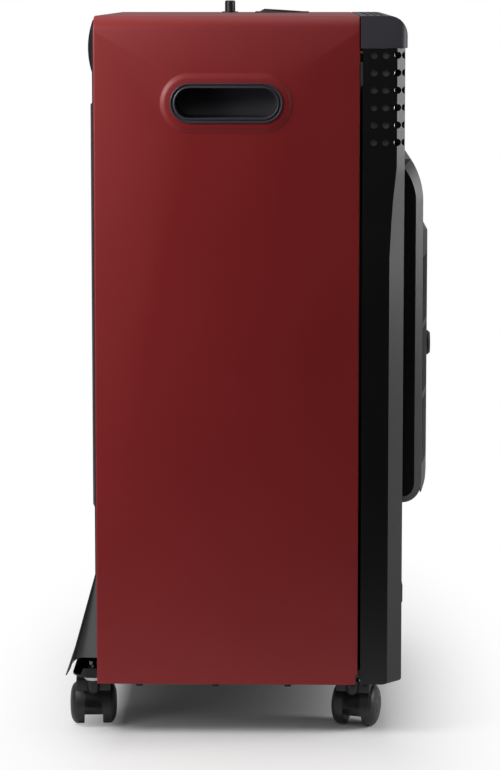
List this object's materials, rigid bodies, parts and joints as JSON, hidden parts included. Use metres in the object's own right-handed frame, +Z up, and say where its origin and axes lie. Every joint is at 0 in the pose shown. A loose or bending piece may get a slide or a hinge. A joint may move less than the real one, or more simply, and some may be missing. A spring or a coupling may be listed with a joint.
{
  "type": "cabinet gas heater",
  "caption": "Upright sheet-steel cabinet heater on twin-wheel casters, with a radiant gas burner behind a bowed guard, a bottle bay behind a pull-off rear cover, side grips and top controls.",
  "frame": {"origin": "on the floor under the middle of the heater's bounding box", "axes": "+Z up, -Y out of the front (guard side), +Y out of the rear cover, +X towards the side with the controls"},
  "size_m": [0.4288, 0.374, 0.7342],
  "materials": {
    "red_enamel": "satin powder coat with a fine orange peel, dark red",
    "black_enamel": "satin black powder coat",
    "guard_enamel": "heat-proof matt black enamel",
    "cap_plastic": "fine-grained dark grey moulding",
    "black_plastic": "fine-grained black moulding",
    "galvanised": "galvanised sheet",
    "zinc_plated": "bright zinc plate",
    "brass": "turned",
    "copper_pipe": "drawn copper tube",
    "valve_aluminium": "die cast",
    "tile_ceramic": "unglazed perforated ceramic",
    "electrode_ceramic": "glazed sleeve",
    "lead_silicone": "silicone-covered lead",
    "caster_nylon": "black nylon",
    "axle_steel": "drawn steel"
  },
  "bodies": {
    "root": {"cabinet_shell": "red_enamel", "base_tray": "black_enamel", "front_frame": "black_enamel", "front_surround": "black_enamel", "guard_grille": "guard_enamel", "top_cap": "cap_plastic", "guard_button": "black_plastic", "lower_trim": "black_plastic", "grip_cup_left": "black_plastic", "grip_cup_right": "black_plastic", "control_bezel": "black_plastic", "igniter_body": "black_plastic", "heat_shield": "galvanised", "burner_frame": "galvanised", "burner_plenums": "galvanised", "injector_rail": "galvanised", "valve_bracket": "galvanised", "bottle_guides": "galvanised", "frame_spacers": "galvanised", "frame_screws": "zinc_plated", "tray_screws": "zinc_plated", "caster_stems": "zinc_plated", "caster_nuts": "zinc_plated", "caster_washers": "zinc_plated", "hose_nozzle": "brass", "injectors": "brass", "pilot_burner": "brass", "burner_pipes": "copper_pipe", "pilot_pipe": "copper_pipe", "thermocouple": "copper_pipe", "gas_valve": "valve_aluminium", "tiles_left": "tile_ceramic", "tiles_centre": "tile_ceramic", "tiles_right": "tile_ceramic", "spark_electrode": "electrode_ceramic", "igniter_lead": "lead_silicone"},
    "caster_fl": {"caster_fl_hood": "caster_nylon", "caster_fl_axle": "axle_steel"},
    "wheel_fl_a": {"caster_fl_wheel_a": "caster_nylon"},
    "wheel_fl_b": {"caster_fl_wheel_b": "caster_nylon"},
    "caster_fr": {"caster_fr_hood": "caster_nylon", "caster_fr_axle": "axle_steel"},
    "wheel_fr_a": {"caster_fr_wheel_a": "caster_nylon"},
    "wheel_fr_b": {"caster_fr_wheel_b": "caster_nylon"},
    "caster_rl": {"caster_rl_hood": "caster_nylon", "caster_rl_axle": "axle_steel"},
    "wheel_rl_a": {"caster_rl_wheel_a": "caster_nylon"},
    "wheel_rl_b": {"caster_rl_wheel_b": "caster_nylon"},
    "caster_rr": {"caster_rr_hood": "caster_nylon", "caster_rr_axle": "axle_steel"},
    "wheel_rr_a": {"caster_rr_wheel_a": "caster_nylon"},
    "wheel_rr_b": {"caster_rr_wheel_b": "caster_nylon"},
    "rear_cover": {"rear_cover": "black_enamel", "cover_pegs": "zinc_plated", "rear_pull": "black_plastic", "pull_screws": "zinc_plated"},
    "igniter_button": {"igniter_button": "black_plastic"},
    "valve_plunger": {"valve_plunger": "brass", "knob_spindle": "zinc_plated"},
    "control_knob": {"control_knob": "black_plastic"}
  },
  "joints": [
    {"name": "caster_fl_swivel", "type": "hinge", "parent": "root", "child": "caster_fl", "pos_m": [-0.18, -0.10195, 0.04], "axis": [0, 0, 1], "continuous": true},
    {"name": "wheel_fl_a_spin", "type": "hinge", "parent": "caster_fl", "child": "wheel_fl_a", "pos_m": [-0.16358, -0.10635, 0.02125], "axis": [0.2588, 0.9659, 0], "continuous": true},
    {"name": "wheel_fl_b_spin", "type": "hinge", "parent": "caster_fl", "child": "wheel_fl_b", "pos_m": [-0.16358, -0.10635, 0.02125], "axis": [0.2588, 0.9659, 0], "continuous": true},
    {"name": "caster_fr_swivel", "type": "hinge", "parent": "root", "child": "caster_fr", "pos_m": [0.18, -0.10195, 0.04], "axis": [0, 0, 1], "continuous": true},
    {"name": "wheel_fr_a_spin", "type": "hinge", "parent": "caster_fr", "child": "wheel_fr_a", "pos_m": [0.16317, -0.09958, 0.02125], "axis": [-0.1392, -0.9903, 0], "continuous": true},
    {"name": "wheel_fr_b_spin", "type": "hinge", "parent": "caster_fr", "child": "wheel_fr_b", "pos_m": [0.16317, -0.09958, 0.02125], "axis": [-0.1392, -0.9903, 0], "continuous": true},
    {"name": "caster_rl_swivel", "type": "hinge", "parent": "root", "child": "caster_rl", "pos_m": [-0.18, 0.16105, 0.04], "axis": [0, 0, 1], "continuous": true},
    {"name": "wheel_rl_a_spin", "type": "hinge", "parent": "caster_rl", "child": "wheel_rl_a", "pos_m": [-0.16304, 0.16224, 0.02125], "axis": [-0.0698, 0.9976, 0], "continuous": true},
    {"name": "wheel_rl_b_spin", "type": "hinge", "parent": "caster_rl", "child": "wheel_rl_b", "pos_m": [-0.16304, 0.16224, 0.02125], "axis": [-0.0698, 0.9976, 0], "continuous": true},
    {"name": "caster_rr_swivel", "type": "hinge", "parent": "root", "child": "caster_rr", "pos_m": [0.18, 0.16105, 0.04], "axis": [0, 0, 1], "continuous": true},
    {"name": "wheel_rr_a_spin", "type": "hinge", "parent": "caster_rr", "child": "wheel_rr_a", "pos_m": [0.16313, 0.15898, 0.02125], "axis": [0.1219, -0.9925, 0], "continuous": true},
    {"name": "wheel_rr_b_spin", "type": "hinge", "parent": "caster_rr", "child": "wheel_rr_b", "pos_m": [0.16313, 0.15898, 0.02125], "axis": [0.1219, -0.9925, 0], "continuous": true},
    {"name": "rear_cover_pull_off", "type": "slide", "parent": "root", "child": "rear_cover", "axis": [0, 1, 0], "range_m": [0, 0.3]},
    {"name": "igniter_press", "type": "slide", "parent": "root", "child": "igniter_button", "axis": [0, 0, -1], "range_m": [0, 0.007], "stiffness_N_per_m": 1500, "springref_m": -0.002},
    {"name": "knob_press", "type": "slide", "parent": "root", "child": "valve_plunger", "axis": [0, 0, -1], "range_m": [0, 0.005], "stiffness_N_per_m": 2000, "springref_m": -0.003},
    {"name": "knob_turn", "type": "hinge", "parent": "valve_plunger", "child": "control_knob", "pos_m": [0.16, -0.02765, 0.7], "axis": [0, 0, 1], "range_deg": [0, 240]}
  ]
}
